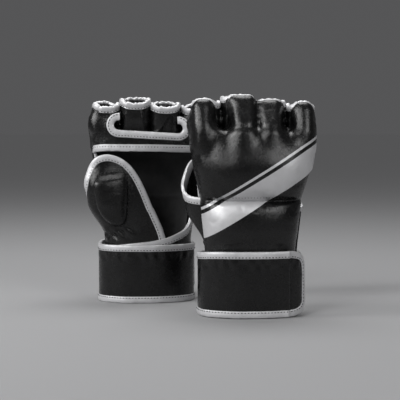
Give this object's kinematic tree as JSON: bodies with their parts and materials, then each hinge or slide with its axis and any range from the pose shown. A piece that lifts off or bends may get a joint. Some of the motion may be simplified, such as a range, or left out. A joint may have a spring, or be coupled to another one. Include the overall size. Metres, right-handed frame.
{
  "type": "mma glove pair",
  "caption": "Pair of padded open-palm grappling and striking gloves with open finger loops, an open thumb guard, silver bound edges and a wrap-round wrist strap.",
  "frame": {"origin": "middle of the pair's box, on the floor under the wrist straps", "axes": "+Z from the cuffs to the fingers, +X from the left glove's side to the right glove's side, -Y towards the viewer of the picture"},
  "size_m": [0.2368, 0.1712, 0.2195],
  "materials": {
    "black_leather": "satin synthetic leather with a fine grain",
    "silver_leather": "pearly coated binding tape",
    "black_lining": "matt woven lining",
    "foam": "closed-cell foam padding",
    "black_loop": "fuzzy loop tape",
    "black_hook": "hook tape"
  },
  "bodies": {
    "right_hand": {"right_back_cover": "black_leather", "right_knuckle_foam": "foam", "right_back_foam": "foam", "right_hand_lining": "black_lining", "right_palm_bar": "black_leather", "right_palm_bar_binding": "silver_leather", "right_slot_binding": "silver_leather", "right_thumb_hole_binding": "silver_leather", "right_strap_root": "black_leather", "right_strap_root_binding": "silver_leather", "right_loop_panel": "black_loop", "right_strap_wrap": "black_leather", "right_strap_wrap_top_binding": "silver_leather", "right_strap_wrap_bottom_binding": "silver_leather"},
    "right_fingers": {"right_index_stall": "black_leather", "right_index_rim": "silver_leather", "right_middle_stall": "black_leather", "right_middle_rim": "silver_leather", "right_ring_stall": "black_leather", "right_ring_rim": "silver_leather", "right_little_stall": "black_leather", "right_little_rim": "silver_leather"},
    "right_thumb": {"right_thumb_guard": "black_leather", "right_thumb_pad": "black_leather", "right_thumb_guard_binding": "silver_leather"},
    "right_strap": {"right_strap_flap": "black_leather", "right_strap_flap_binding": "silver_leather", "right_hook_patch": "black_hook"},
    "left_hand": {"left_back_cover": "black_leather", "left_knuckle_foam": "foam", "left_back_foam": "foam", "left_hand_lining": "black_lining", "left_palm_bar": "black_leather", "left_palm_bar_binding": "silver_leather", "left_slot_binding": "silver_leather", "left_thumb_hole_binding": "silver_leather", "left_strap_root": "black_leather", "left_strap_root_binding": "silver_leather", "left_loop_panel": "black_loop", "left_strap_wrap": "black_leather", "left_strap_wrap_top_binding": "silver_leather", "left_strap_wrap_bottom_binding": "silver_leather"},
    "left_fingers": {"left_index_stall": "black_leather", "left_index_rim": "silver_leather", "left_middle_stall": "black_leather", "left_middle_rim": "silver_leather", "left_ring_stall": "black_leather", "left_ring_rim": "silver_leather", "left_little_stall": "black_leather", "left_little_rim": "silver_leather"},
    "left_thumb": {"left_thumb_guard": "black_leather", "left_thumb_pad": "black_leather", "left_thumb_guard_binding": "silver_leather"},
    "left_strap": {"left_strap_flap": "black_leather", "left_strap_flap_binding": "silver_leather", "left_hook_patch": "black_hook"}
  },
  "joints": [
    {"name": "right_finger_flex", "type": "hinge", "parent": "right_hand", "child": "right_fingers", "pos_m": [0.05437, -0.03914, 0.1807], "axis": [-0.9976, -0.0698, 0], "range_deg": [0, 25], "stiffness_Nm_per_rad": 0.6, "springref_deg": -5.73},
    {"name": "right_thumb_swing", "type": "hinge", "parent": "right_hand", "child": "right_thumb", "pos_m": [0.02221, -0.02797, 0.06961], "axis": [-0.8776, -0.4793, 0], "range_deg": [0, 20], "stiffness_Nm_per_rad": 0.4, "springref_deg": -11.46},
    {"name": "right_strap_open", "type": "hinge", "parent": "right_hand", "child": "right_strap", "pos_m": [0.00192, -0.05182, 0.03275], "axis": [0, 0, -1], "range_deg": [0, 110]},
    {"name": "left_glove_lift", "type": "slide", "parent": "right_hand", "child": "left_hand", "axis": [0, 0, 1], "range_m": [0, 0.3]},
    {"name": "left_finger_flex", "type": "hinge", "parent": "left_hand", "child": "left_fingers", "pos_m": [-0.05207, 0.03894, 0.1807], "axis": [0.9945, 0.1045, 0], "range_deg": [0, 25], "stiffness_Nm_per_rad": 0.6, "springref_deg": -5.73},
    {"name": "left_thumb_swing", "type": "hinge", "parent": "left_hand", "child": "left_thumb", "pos_m": [-0.08179, 0.02236, 0.06961], "axis": [0.9475, -0.3196, 0], "range_deg": [0, 20], "stiffness_Nm_per_rad": 0.4, "springref_deg": -11.46},
    {"name": "left_strap_open", "type": "hinge", "parent": "left_hand", "child": "left_strap", "pos_m": [-0.10591, 0.04233, 0.03275], "axis": [0, 0, 1], "range_deg": [0, 110]}
  ]
}
